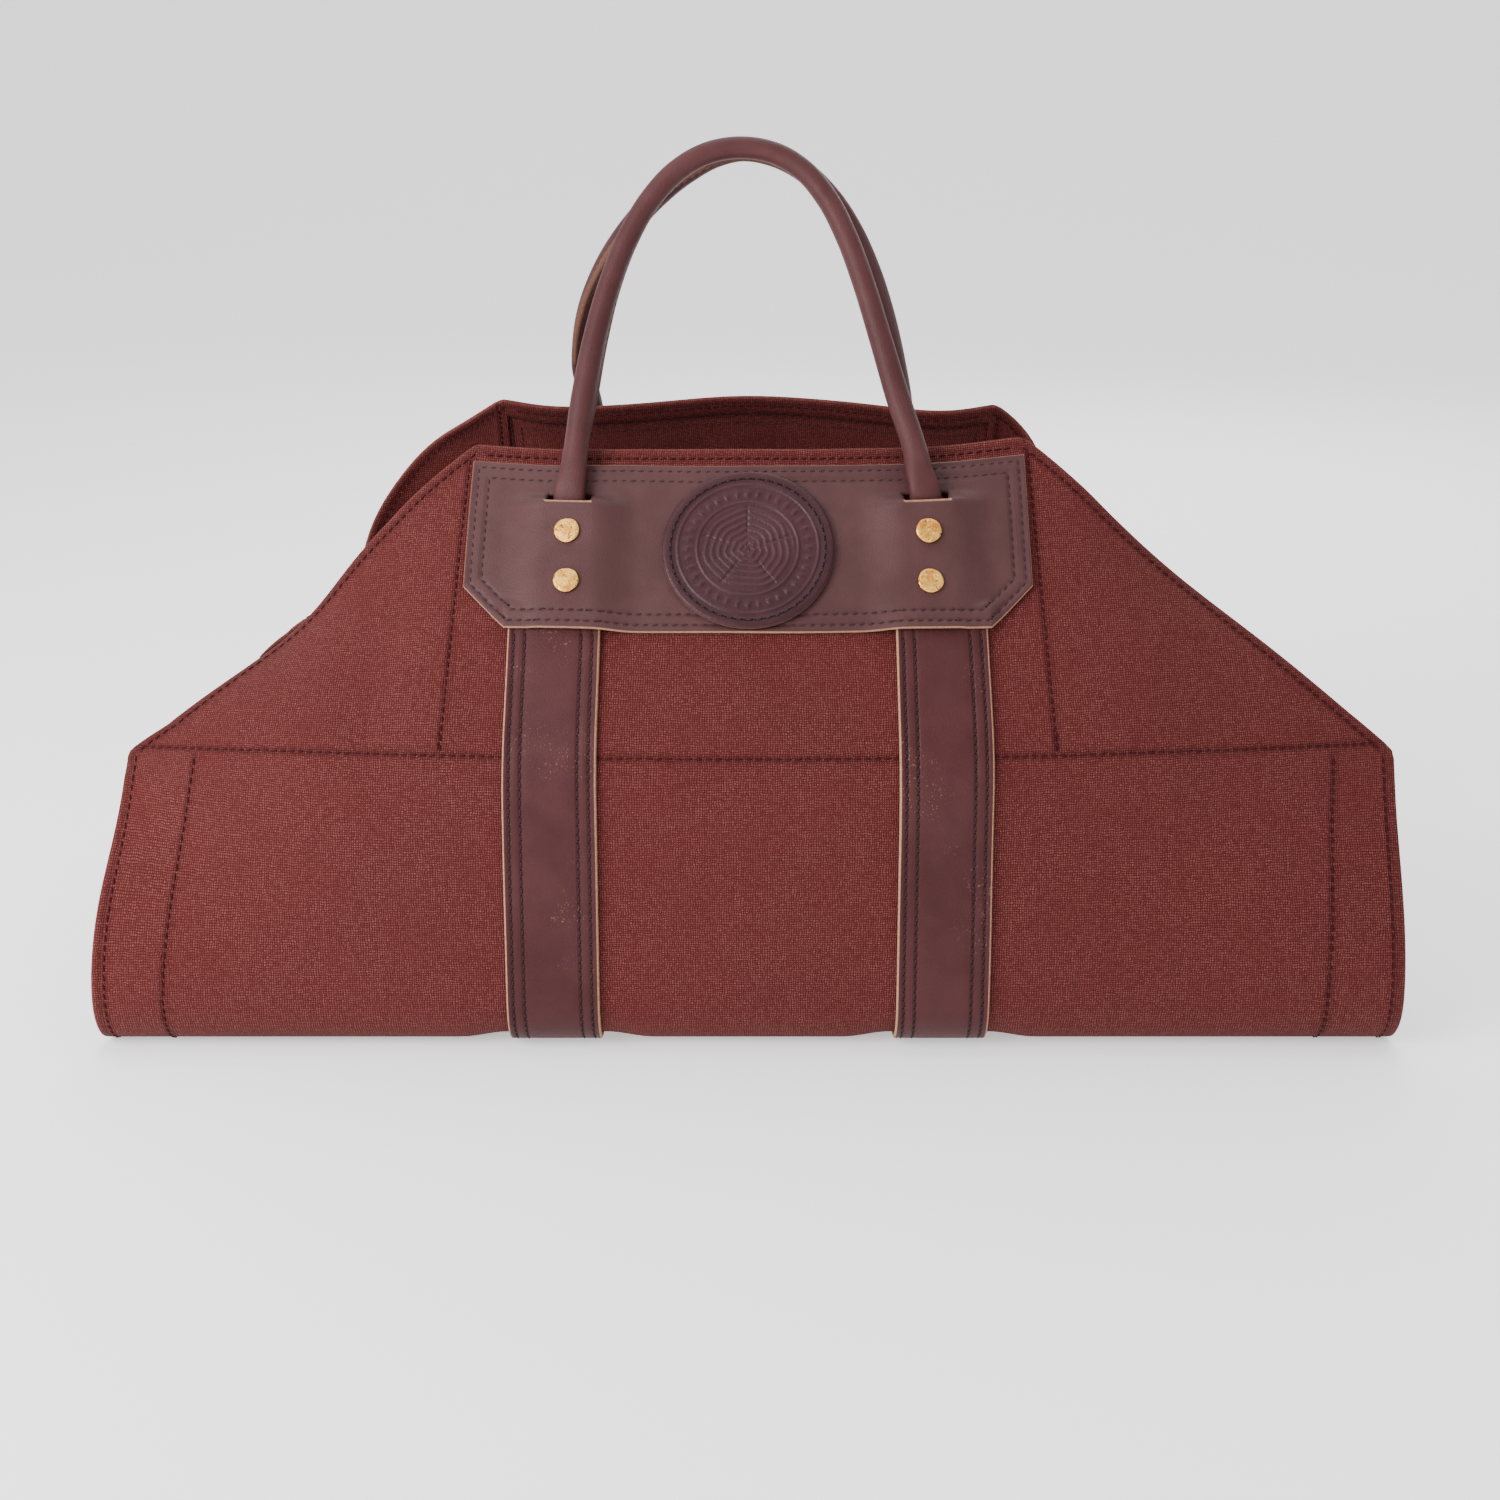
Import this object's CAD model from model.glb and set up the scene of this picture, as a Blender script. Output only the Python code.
"""The looks of a canvas log carrier, standing open as it does round a load.

Sizes are in millimetres and angles in degrees until a mesh is made, which is in
metres. A place on the cloth is (u, along): u runs across the carrier, and along
runs over the cloth from the middle of the bottom, below zero to the front top
edge and above zero to the back top edge.
"""
from __future__ import annotations

import logging
import math
from dataclasses import dataclass, field
from enum import Enum
from typing import Callable

import bpy
import numpy as np
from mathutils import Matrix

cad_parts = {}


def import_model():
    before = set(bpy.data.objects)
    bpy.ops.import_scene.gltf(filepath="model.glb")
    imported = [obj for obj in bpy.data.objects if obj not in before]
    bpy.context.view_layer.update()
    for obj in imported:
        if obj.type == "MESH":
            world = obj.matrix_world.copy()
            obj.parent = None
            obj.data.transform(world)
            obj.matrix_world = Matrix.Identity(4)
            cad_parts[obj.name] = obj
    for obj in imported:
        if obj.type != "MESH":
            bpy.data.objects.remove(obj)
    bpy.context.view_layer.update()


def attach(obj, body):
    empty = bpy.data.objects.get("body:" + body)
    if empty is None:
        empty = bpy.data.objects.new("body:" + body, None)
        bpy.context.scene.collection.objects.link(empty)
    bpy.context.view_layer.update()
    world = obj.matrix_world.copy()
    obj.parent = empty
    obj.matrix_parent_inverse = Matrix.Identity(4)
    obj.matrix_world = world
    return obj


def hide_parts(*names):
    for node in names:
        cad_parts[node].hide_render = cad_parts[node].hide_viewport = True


MM = 0.001
LOG = logging.getLogger("carrier")
Array = np.ndarray


class Panel(Enum):
    """The two sides of the carrier, valued by the sign of their place along."""

    FRONT = -1
    BACK = 1


class End(Enum):
    """The two ends of the carrier, valued by the sign of u."""

    LEFT = -1
    RIGHT = 1


def ease(x: Array) -> Array:
    """Rises smoothly from 0 at 0 to 1 at 1, as three squares less two cubes."""
    x = np.clip(x, 0.0, 1.0)
    return x * x * (3.0 - 2.0 * x)


def bell(x: Array) -> Array:
    """A bell of height 1 and width 1: e to the power of minus x squared."""
    return np.exp(-np.square(x))


def spread(stops: list[tuple[float, int]]) -> Array:
    """Values that pass through every stop, with as many even steps before each as it says.

    Args:
        stops: Pairs of a value and the number of steps that lead up to it.

    Returns:
        The rising values, one more than the steps in all.
    """
    values = [np.array([stops[0][0]])]
    for (start, _), (stop, steps) in zip(stops, stops[1:]):
        values.append(np.linspace(start, stop, steps + 1)[1:])
    return np.concatenate(values)


def unit(vectors: Array) -> Array:
    """The same directions, each divided by its own length."""
    return vectors / np.maximum(np.linalg.norm(vectors, axis=-1, keepdims=True), 1e-9)


@dataclass
class Surface:
    """A mesh in the making: points in millimetres, faces and values on the points."""

    points: Array
    faces: list[Array]
    uv: Array | None = None
    values: dict[str, Array] = field(default_factory=dict)

    def mesh(self, name: str) -> bpy.types.Object:
        """Puts the arrays into a mesh object at the origin.

        Args:
            name: The object's name.

        Returns:
            The object, shaded smooth.
        """
        data = bpy.data.meshes.new(name)
        loops = np.concatenate([f.reshape(-1) for f in self.faces]).astype(np.int32)
        counts = np.concatenate([np.full(len(f), f.shape[1]) for f in self.faces])
        starts = np.concatenate([[0], np.cumsum(counts)[:-1]]).astype(np.int32)
        data.vertices.add(len(self.points))
        data.loops.add(len(loops))
        data.polygons.add(len(counts))
        data.vertices.foreach_set("co", (self.points * MM).astype(np.float32).ravel())
        data.loops.foreach_set("vertex_index", loops)
        data.polygons.foreach_set("loop_start", starts)
        data.update(calc_edges=True)
        if self.uv is not None:
            layer = data.uv_layers.new(name="lay")
            layer.data.foreach_set("uv", (self.uv[loops] * MM).astype(np.float32).ravel())
        for label, value in self.values.items():
            layer = data.attributes.new(label, "FLOAT", "POINT")
            layer.data.foreach_set("value", value.astype(np.float32).ravel())
        data.shade_smooth()
        made = bpy.data.objects.new(name, data)
        bpy.context.scene.collection.objects.link(made)
        return made


def joined(surfaces: list[Surface]) -> Surface:
    """Several surfaces as one, each with its own points."""
    start = 0
    faces = []
    for surface in surfaces:
        faces.extend(f + start for f in surface.faces)
        start += len(surface.points)
    first = surfaces[0]
    uv = None if first.uv is None else np.concatenate([s.uv for s in surfaces])
    values = {k: np.concatenate([s.values[k] for s in surfaces]) for k in first.values}
    return Surface(np.concatenate([s.points for s in surfaces]), faces, uv, values)


def tube(rings: Array, values: dict[str, Array], uv: Array) -> Surface:
    """Rings of points joined one to the next, with both ends closed by a fan.

    Args:
        rings: Points in the shape (rings, points of a ring, 3).
        values: Values in the shape (rings, points of a ring).
        uv: Flat places in the shape (rings, points of a ring, 2).

    Returns:
        The closed surface. The two fan centres are the means of the end rings.
    """
    count, sides, _ = rings.shape
    index = np.arange(count * sides).reshape(count, sides)
    after = np.roll(index, -1, axis=1)
    walls = np.stack([index[:-1], after[:-1], after[1:], index[1:]], -1).reshape(-1, 4)
    first, last = count * sides, count * sides + 1
    head = np.stack([np.full(sides, first), after[0], index[0]], -1)
    tail = np.stack([np.full(sides, last), index[-1], after[-1]], -1)
    ends = np.array([0, -1])
    points = np.concatenate([rings.reshape(-1, 3), rings[ends].mean(1)])
    flat = np.concatenate([uv.reshape(-1, 2), uv[ends].mean(1)])
    held = {k: np.concatenate([v.ravel(), v[ends].mean(1)]) for k, v in values.items()}
    return Surface(points, [walls, np.concatenate([head, tail])], flat, held)


def slab(outer: Array, inner: Array, uv: Array, values: dict[str, Array],
         kept: Array | None = None) -> Surface:
    """Two grids of points as the two faces of a closed sheet.

    The grids run down in rows and across in columns, and share their rim. Where
    cells are left out, walls join the two faces.

    Args:
        outer: Points of the outer face in the shape (rows, columns, 3).
        inner: Points of the inner face, alike.
        uv: Flat places in the shape (rows, columns, 2).
        values: Values in the shape (2, rows, columns), for the two faces.
        kept: False for each cell that is left out, in (rows - 1, columns - 1).

    Returns:
        The closed surface.
    """
    rows, columns, _ = outer.shape
    kept = np.ones((rows - 1, columns - 1), bool) if kept is None else kept
    top = np.arange(rows * columns).reshape(rows, columns)
    low = top + rows * columns
    low[0], low[-1], low[:, 0], low[:, -1] = top[0], top[-1], top[:, 0], top[:, -1]

    def cells(grid: Array) -> Array:
        """The four corners of each cell, down first."""
        return np.stack([grid[:-1, :-1], grid[1:, :-1], grid[1:, 1:], grid[:-1, 1:]], -1)

    faces = [cells(top)[kept], cells(low)[kept][:, ::-1]]
    padded = np.pad(kept, 1, constant_values=False)
    inside = padded[1:-1, 1:-1]
    a, b = cells(top), cells(low)
    for beside, (i, j) in ((padded[1:-1, :-2], (0, 1)), (padded[2:, 1:-1], (1, 2)),
                           (padded[1:-1, 2:], (2, 3)), (padded[:-2, 1:-1], (3, 0))):
        wall = inside & ~beside
        border = np.zeros_like(wall)
        border[:, 0] = (i, j) == (0, 1)
        border[-1, :] |= (i, j) == (1, 2)
        border[:, -1] |= (i, j) == (2, 3)
        border[0, :] |= (i, j) == (3, 0)
        wall &= ~border
        faces.append(np.stack([a[wall][:, j], a[wall][:, i], b[wall][:, i], b[wall][:, j]], -1))
    used = np.unique(np.concatenate([f.ravel() for f in faces]))
    fresh = np.full(2 * rows * columns, -1)
    fresh[used] = np.arange(len(used))
    points = np.concatenate([outer.reshape(-1, 3), inner.reshape(-1, 3)])[used]
    flat = np.concatenate([uv.reshape(-1, 2)] * 2)[used]
    held = {k: v.reshape(-1)[used] for k, v in values.items()}
    return Surface(points, [fresh[f] for f in faces if len(f)], flat, held)


@dataclass(frozen=True)
class Fold:
    """A soft hollow or swell of a panel, by shares of the cloth, rise outwards."""

    panel: Panel
    across: float
    along: float
    wide: float
    tall: float
    rise: float


FOLDS = (
    Fold(Panel.FRONT, -0.3, 0.0, 0.1, 0.1, -0.3),
    Fold(Panel.FRONT, 0.3, 0.0, 0.1, 0.1, -0.3),
    Fold(Panel.FRONT, -0.57, 0.24, 0.06, 0.12, -0.35),
    Fold(Panel.FRONT, 0.62, 0.25, 0.1, 0.1, 0.3),
    Fold(Panel.FRONT, -0.62, 0.48, 0.25, 0.08, 0.5),
    Fold(Panel.FRONT, 0.62, 0.46, 0.28, 0.09, -0.4),
    Fold(Panel.FRONT, -0.98, 0.47, 0.12, 0.05, -0.6),
    Fold(Panel.FRONT, 0.5, 0.0, 0.2, 0.12, 0.9),
    Fold(Panel.BACK, -0.3, 0.0, 0.2, 0.2, -0.9),
    Fold(Panel.BACK, 0.35, 0.0, 0.2, 0.2, -1.2),
    Fold(Panel.BACK, -0.6, 0.09, 0.15, 0.06, 1.3),
    Fold(Panel.BACK, -0.46, 0.0, 0.08, 0.1, 0.5),
    Fold(Panel.BACK, 0.46, 0.0, 0.08, 0.1, 0.5),
    Fold(Panel.BACK, -0.6, 0.45, 0.25, 0.09, 0.45),
    Fold(Panel.BACK, 0.6, 0.45, 0.25, 0.09, 0.45),
)
ARCHES = {
    (Panel.FRONT, End.LEFT): (0.89, 0.61, 3.0),
    (Panel.FRONT, End.RIGHT): (0.64, 0.57, 5.0),
    (Panel.BACK, End.LEFT): (1.25, 0.36, 0.0),
    (Panel.BACK, End.RIGHT): (0.84, 0.54, 2.0),
}


@dataclass(frozen=True)
class Wing:
    """How far a folded corner's edge droops: at its tip, and in a hollow on the way."""

    tip: float
    hollow: float
    at: float
    wide: float

    def droop(self, share: Array) -> Array:
        """The tip's droop times the cube of the way there, and a bell for the hollow."""
        return self.tip * share**3 + self.hollow * bell((share - self.at) / self.wide)


WINGS = {
    (Panel.FRONT, End.LEFT): Wing(26.0, 22.0, 0.57, 0.25),
    (Panel.FRONT, End.RIGHT): Wing(4.0, 5.0, 0.4, 0.2),
    (Panel.BACK, End.LEFT): Wing(64.0, 32.0, 0.66, 0.16),
    (Panel.BACK, End.RIGHT): Wing(36.0, 28.0, 0.4, 0.36),
}


@dataclass(frozen=True)
class Drape:
    """How the cloth hangs: a U in the side view, bowed and curled across."""

    cloth_width: float = 635.0
    top_width: float = 282.0
    corner_drop: float = 168.0
    top_corner_radius: float = 12.0
    side_corner_radius: float = 10.0
    base_depth: float = 344.0
    bend_radius: float = 26.0
    wall_run: float = 117.0
    wall_lean: float = 2.0
    shoulder_run: float = 40.0
    front_lean: float = 37.0
    back_lean: float = 33.0
    top_bow: float = 16.0
    seam_bow: float = 27.0
    wing_reach: float = 40.0
    fold_depth: float = 10.0
    strap_centre: float = 94.0
    strap_width: float = 45.0
    leather: float = 2.8
    seat: float = 0.35
    floor_gap: float = 0.2
    ripple: float = 0.5

    @property
    def flat_half(self) -> float:
        """Half the flat length of the bottom."""
        return self.base_depth / 2 - self.bend_radius

    @property
    def bend_run(self) -> float:
        """Length of a quarter turn from the bottom to a wall."""
        return self.bend_radius * math.pi / 2

    @property
    def wall_end(self) -> float:
        """Distance from a top edge down to the bend."""
        return self.corner_drop + self.wall_run

    @property
    def length(self) -> float:
        """Distance along the cloth from the middle of the bottom to a top edge."""
        return self.wall_end + self.bend_run + self.flat_half

    @property
    def fold_edge(self) -> float:
        """Distance from the middle to the line where the folded corners end."""
        return self.top_width / 2 + 1.0

    def side_view(self, run: Array, lean: float) -> tuple[Array, Array, Array]:
        """Follows the side view: flat, a quarter turn, a wall, a shoulder, a lean.

        Each stretch is an arc from one heading to the next, and a place on it is
        the difference of the sines and cosines of the headings over the turn.

        Args:
            run: Distances from the middle of the bottom.
            lean: The lean of the panel's upper part.

        Returns:
            The distance out, the height and the heading in radians.
        """
        upright = math.pi / 2
        wall = upright + math.radians(self.wall_lean)
        top = upright + math.radians(lean)
        half = self.shoulder_run / 2
        stretches = ((self.flat_half, 0.0), (self.bend_run, upright),
                     (self.wall_run - half, wall), (2 * half, top), (self.corner_drop, top))
        out, high = np.zeros_like(run), np.zeros_like(run)
        heading, start, before = np.zeros_like(run), 0.0, 0.0
        for reach, after in stretches:
            go = np.clip(run - start, 0.0, reach)
            turn = (after - before) / reach
            if abs(turn) < 1e-7:
                out += math.cos(before) * go
                high += math.sin(before) * go
            else:
                out += (np.sin(before + turn * go) - math.sin(before)) / turn
                high += (math.cos(before) - np.cos(before + turn * go)) / turn
            heading = np.where(run > start, before + turn * go, heading)
            start, before = start + reach, after
        return out, high, heading

    def half_width(self, down: Array) -> Array:
        """Half the width of the cloth: straight sides, sloping shoulders, round corners."""
        across = (self.cloth_width - self.top_width) / 2
        slope = math.atan2(self.corner_drop, across)
        radius = self.top_corner_radius
        half = self.top_width / 2 + down * across / self.corner_drop
        centre = self.top_width / 2 - radius * math.tan(slope / 2)
        drop = np.clip(radius - down, 0.0, radius)
        near = centre + np.sqrt(np.maximum(radius**2 - drop**2, 0.0))
        half = np.where(down < radius * (1 - math.cos(slope)), near, half)
        radius = self.side_corner_radius
        below = down - self.corner_drop - radius * math.tan((math.pi / 2 - slope) / 2)
        reach = np.sqrt(np.maximum(radius**2 - np.minimum(below, 0.0) ** 2, 0.0))
        side = self.cloth_width / 2 - radius + reach
        half = np.where(below > -radius * math.cos(slope), side, half)
        return np.where(below >= 0, self.cloth_width / 2, half)

    def across_view(self, u: Array, down: Array, droop: Array) -> tuple[Array, Array, Array]:
        """Two arcs across the cloth: a shallow bow, then a tighter curl past the fold.

        Args:
            u: Distances across, without sign.
            down: Distances from the top edge.
            droop: How far the edge falls behind at each place.

        Returns:
            The distance across, how far the bow falls behind, and the droop.
        """
        fade = 1.0 - ease((down - self.corner_drop) / self.wall_run)
        share = np.clip(down / self.corner_drop, 0.0, 1.0)
        bow = (self.top_bow + (self.seam_bow - self.top_bow) * share) * fade
        wide = (self.top_width + (self.cloth_width - self.top_width) * share) / 2
        bend = np.maximum(2 * bow / wide**2, 1e-7)
        reach = np.maximum(self.half_width(down) - self.fold_edge, self.wing_reach)
        wing = bend + 2 * droop * fade / reach**2
        near = np.minimum(u, self.fold_edge)
        past = np.maximum(u - self.fold_edge, 0.0)
        start = bend * near
        across = np.sin(start) / bend + (np.sin(start + wing * past) - np.sin(start)) / wing
        aside = (1 - np.cos(start)) / bend
        aside += (np.cos(start) - np.cos(start + wing * past)) / wing
        bowed = (1 - np.cos(bend * u)) / bend
        return across, bowed, aside - bowed

    def rise(self, u: Array, along: Array, down: Array) -> Array:
        """How far the cloth stands out: its folds, a faint ripple and its sag."""
        fade = 1.0 - ease((down - self.corner_drop) / self.wall_run)
        out = np.zeros_like(u)
        for fold in FOLDS:
            here = np.sign(along) == fold.panel.value
            a = (2 * u / self.cloth_width - fold.across) / fold.wide
            b = (down / self.length - fold.along) / fold.tall
            out += here * fold.rise * bell(a) * bell(b)
        out *= self.fold_depth * fade
        wall = ease((self.wall_end - down) / self.wall_run)
        out += self.ripple * wall * (np.sin(u / 23.0 + along / 61.0) * np.sin(down / 37.0)
                                     + 0.6 * np.sin(u / 13.0 - down / 19.0 + 2.0))
        beside = np.abs(np.abs(u) - self.strap_centre) - self.strap_width / 2
        sag = ease((beside - 2.0) * 2 / self.strap_width)
        sag *= ease((down - self.wall_end) / self.bend_run)
        return out + (self.leather + self.seat - self.floor_gap) * sag

    def point(self, u: Array, along: Array) -> Array:
        """Places on the outer face of the cloth, in the shape of u with an axis of 3 more."""
        u, along = np.broadcast_arrays(np.asarray(u, float), np.asarray(along, float))
        down = self.length - np.abs(along)
        front = self.side_view(np.abs(along), self.front_lean)
        back = self.side_view(np.abs(along), self.back_lean)
        out, high, heading = (np.where(along < 0, a, b) for a, b in zip(front, back))
        share = np.clip(down / self.corner_drop, 0.0, 1.0)
        droop = np.zeros_like(u)
        for (panel, end), wing in WINGS.items():
            here = (np.sign(along) == panel.value) & (np.sign(u) == end.value)
            droop += here * wing.droop(share)
        across, bow, fallen = self.across_view(np.abs(u), down, droop)
        rise = self.rise(u, along, down) - fallen
        return np.stack([
            np.sign(u) * across,
            np.sign(along) * (out - bow + rise * np.sin(heading)),
            high - rise * np.cos(heading) + self.leather + self.seat,
        ], -1)

    def normal(self, u: Array, along: Array) -> Array:
        """Outward directions: the cross product of the steps along and across."""
        step = 0.6
        across = self.point(u + step, along) - self.point(u - step, along)
        onward = self.point(u, along + step) - self.point(u, along - step)
        return unit(np.cross(onward, across))

    def on(self, u: Array, along: Array, height: Array) -> Array:
        """Places at a height above the cloth: the point plus that much of the normal."""
        u, along = np.broadcast_arrays(np.asarray(u, float), np.asarray(along, float))
        return self.point(u, along) + self.normal(u, along) * np.asarray(height)[..., None]


class Wire:
    """A socket of a node tree, on which Python's operators add Math nodes."""

    def __init__(self, graph: "Graph", socket: bpy.types.NodeSocket) -> None:
        """Holds the socket and the graph that it belongs to."""
        self.graph = graph
        self.socket = socket

    def _math(self, kind: str, *terms: "Wire | float") -> "Wire":
        """A Math node of that kind on these terms."""
        return self.graph.node("ShaderNodeMath", {"operation": kind}, dict(enumerate(terms)))

    def __add__(self, other: "Wire | float") -> "Wire":
        """This plus the other."""
        return self._math("ADD", self, other)

    __radd__ = __add__

    def __mul__(self, other: "Wire | float") -> "Wire":
        """This times the other."""
        return self._math("MULTIPLY", self, other)

    __rmul__ = __mul__

    def __sub__(self, other: "Wire | float") -> "Wire":
        """This less the other."""
        return self._math("SUBTRACT", self, other)

    def __rsub__(self, other: float) -> "Wire":
        """The other less this."""
        return self._math("SUBTRACT", other, self)

    def __truediv__(self, other: "Wire | float") -> "Wire":
        """This divided by the other."""
        return self._math("DIVIDE", self, other)

    def __abs__(self) -> "Wire":
        """This without its sign."""
        return self._math("ABSOLUTE", self)

    def __pow__(self, other: float) -> "Wire":
        """This to a power."""
        return self._math("POWER", self, other)

    def sine(self) -> "Wire":
        """The sine of this."""
        return self._math("SINE", self)

    def above(self, other: "Wire | float") -> "Wire":
        """One where this is more than the other, else zero."""
        return self._math("GREATER_THAN", self, other)

    def floor(self) -> "Wire":
        """This rounded down."""
        return self._math("FLOOR", self)

    def least(self, other: "Wire | float") -> "Wire":
        """The lesser of the two."""
        return self._math("MINIMUM", self, other)

    def ramp(self, start: float, stop: float) -> "Wire":
        """Rises smoothly from 0 where this is start to 1 where it is stop."""
        return self.graph.node("ShaderNodeMapRange", {"interpolation_type": "SMOOTHSTEP"},
                               {"Value": self, "From Min": start, "From Max": stop})


Paint = tuple[float, float, float]


class Graph:
    """A material's node tree, built from expressions."""

    def __init__(self, name: str) -> None:
        """Makes an empty material of that name."""
        self.material = bpy.data.materials.new(name)
        self.material.use_nodes = True
        self.tree = self.material.node_tree
        self.tree.nodes.clear()

    def node(self, kind: str, settings: dict | None = None, inputs: dict | None = None,
             output: str | int = 0) -> Wire:
        """Adds a node, sets it and feeds its sockets.

        Args:
            kind: The node's type.
            settings: Its own settings, set before its sockets are.
            inputs: Values or wires by the sockets' names or places.
            output: Which of its outputs is wanted.

        Returns:
            The wanted output.
        """
        made = self.tree.nodes.new(kind)
        for label, value in (settings or {}).items():
            setattr(made, label, value)
        for label, value in (inputs or {}).items():
            self.feed(made.inputs[label], value)
        return Wire(self, made.outputs[output])

    def feed(self, socket: bpy.types.NodeSocket, value: "Wire | float | Paint") -> None:
        """Links a wire to a socket, or sets the socket to a constant."""
        if isinstance(value, Wire):
            self.tree.links.new(value.socket, socket)
        elif socket.type == "RGBA":
            socket.default_value = (*value, 1.0)
        else:
            socket.default_value = value

    def lay(self) -> tuple[Wire, Wire]:
        """The flat place on the piece, in millimetres, as two wires."""
        flat = self.node("ShaderNodeUVMap", {"uv_map": "lay"})
        split = {"Vector": flat}
        return tuple(self.node("ShaderNodeSeparateXYZ", None, split, k) * 1000.0 for k in "XY")

    def value(self, name: str) -> Wire:
        """A value that the mesh holds on its points."""
        return self.node("ShaderNodeAttribute", {"attribute_name": name}, None, "Fac")

    def place(self, x: Wire | float, y: Wire | float, z: Wire | float = 0.0) -> Wire:
        """A vector of three numbers."""
        return self.node("ShaderNodeCombineXYZ", None, {"X": x, "Y": y, "Z": z})

    def noise(self, scale: float, detail: float = 3.0, at: Wire | None = None) -> Wire:
        """Soft noise from 0 to 1 in the object's own space, or at a given place."""
        where = at or self.node("ShaderNodeTexCoord", None, None, "Object")
        return self.node("ShaderNodeTexNoise", None,
                         {"Vector": where, "Scale": scale, "Detail": detail})

    def mix(self, factor: Wire | float, a: Wire | Paint, b: Wire | Paint,
            blend: str = "MIX") -> Wire:
        """Two colours mixed by a factor."""
        made = self.tree.nodes.new("ShaderNodeMix")
        made.data_type = "RGBA"
        made.blend_type = blend
        colours = [s for s in made.inputs if s.type == "RGBA"]
        for socket, value in ((made.inputs[0], factor), (colours[0], a), (colours[1], b)):
            self.feed(socket, value)
        return Wire(self, next(s for s in made.outputs if s.type == "RGBA"))

    def bump(self, height: Wire, distance: float, under: Wire | None = None) -> Wire:
        """A normal from a height of 0 to 1 that stands for a distance in metres."""
        inputs = {"Height": height, "Distance": distance, "Strength": 1.0}
        if under:
            inputs["Normal"] = under
        return self.node("ShaderNodeBump", None, inputs)

    def finish(self, colour: Wire | Paint, roughness: Wire | float, normal: Wire | None,
               **constants: float) -> bpy.types.Material:
        """Ends the material in a Principled shader.

        Args:
            colour: The base colour.
            roughness: The roughness.
            normal: The bumped normal, if there is one.
            **constants: Other sockets' values, with _ for a space in their names.

        Returns:
            The material.
        """
        inputs = {"Base Color": colour, "Roughness": roughness}
        inputs.update({k.replace("_", " "): v for k, v in constants.items()})
        if normal:
            inputs["Normal"] = normal
        shader = self.node("ShaderNodeBsdfPrincipled", None, inputs, "BSDF")
        made = self.tree.nodes.new("ShaderNodeOutputMaterial")
        self.feed(made.inputs["Surface"], shader)
        return self.material


@dataclass(frozen=True)
class Duck:
    """Waxed duck canvas: a tight plain weave with uneven yarns, faded where it wears."""

    name: str
    colour: Paint = (0.083, 0.0064, 0.006)
    dusty: Paint = (0.26, 0.087, 0.078)
    deep: Paint = (0.026, 0.0012, 0.0012)
    yarn: float = 1.15
    sway: float = 1.6
    topstitch: float = 5.0

    def stitched(self, g: Graph) -> Wire:
        """Distance in millimetres from the nearest line of stitches."""
        edge, seam, hem, fold = (g.value(k) for k in ("edge", "seam", "hem", "fold"))
        upper = 1.0 - seam.ramp(-1.0, 1.0)
        near_hem = abs(hem) + upper * 99.0
        near_fold = abs(fold) + (1.0 - upper) * 99.0
        return abs(seam).least(near_hem).least(near_fold).least(abs(edge - self.topstitch))

    def material(self) -> bpy.types.Material:
        """Builds the material. It reads the distances that the mesh holds."""
        g = Graph(self.name)
        x, y = g.lay()
        edge, stitched = g.value("edge"), self.stitched(g)
        sway = g.noise(1.0, 2.0, g.place(x / 5.0, y / 5.0, 9.0)) * self.sway
        lag = g.noise(1.0, 2.0, g.place(x / 5.0, y / 5.0, 21.0)) * self.sway
        a, b = x / self.yarn + sway, y / self.yarn + lag
        weft, warp = (b * math.pi).sine(), (a * math.pi).sine()
        over = (weft * warp).above(0.0)
        pillow = abs(weft) * abs(warp)
        warp_slub = g.noise(1.0, 2.0, g.place(a.floor() * 7.31, y / 28.0))
        weft_slub = g.noise(1.0, 2.0, g.place(x / 28.0, b.floor() * 5.77, 3.0))
        slub = over * warp_slub + (1.0 - over) * weft_slub
        cell = g.node("ShaderNodeTexWhiteNoise", {"noise_dimensions": "2D"},
                      {"Vector": g.place(a.floor(), b.floor())}, "Value")
        cloud = g.noise(9.0, 4.0)
        smudge = g.noise(45.0, 5.0)
        depth = smudge.ramp(0.3, 0.6) * 0.25 + 0.7
        crown = pillow**1.5 * (0.22 + cell * 0.58 + slub.ramp(0.45, 0.75) * 0.04) * depth
        groove = (1.0 - pillow).ramp(0.35, 0.9) * depth
        base = g.mix(cloud.ramp(0.3, 0.7) * 0.14, self.colour, self.deep)
        base = g.mix(groove * 0.65, base, self.deep)
        base = g.mix(crown, base, self.dusty)
        near = 1.0 - stitched.ramp(0.3, 4.0)
        worn = 1.0 - edge.ramp(0.0, 2.2)
        base = g.mix(near * 0.28, base, self.deep)
        base = g.mix(worn * 0.2, base, self.dusty)
        pucker = g.noise(1.0, 2.0, g.place(x / 5.5, y / 5.5))
        press = (1.0 - stitched.ramp(0.0, 2.4)) * -0.6
        soft = pucker * near * 0.6 + press + g.noise(38.0, 3.0) * 0.55
        normal = g.bump(soft, 0.0011)
        weave = pillow * (0.85 + slub * 0.3)
        normal = g.bump(weave, 0.0003, normal)
        rough = 0.78 + smudge * 0.14 - pillow * 0.05
        return g.finish(base, rough, normal, Specular_IOR_Level=0.18)


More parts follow.
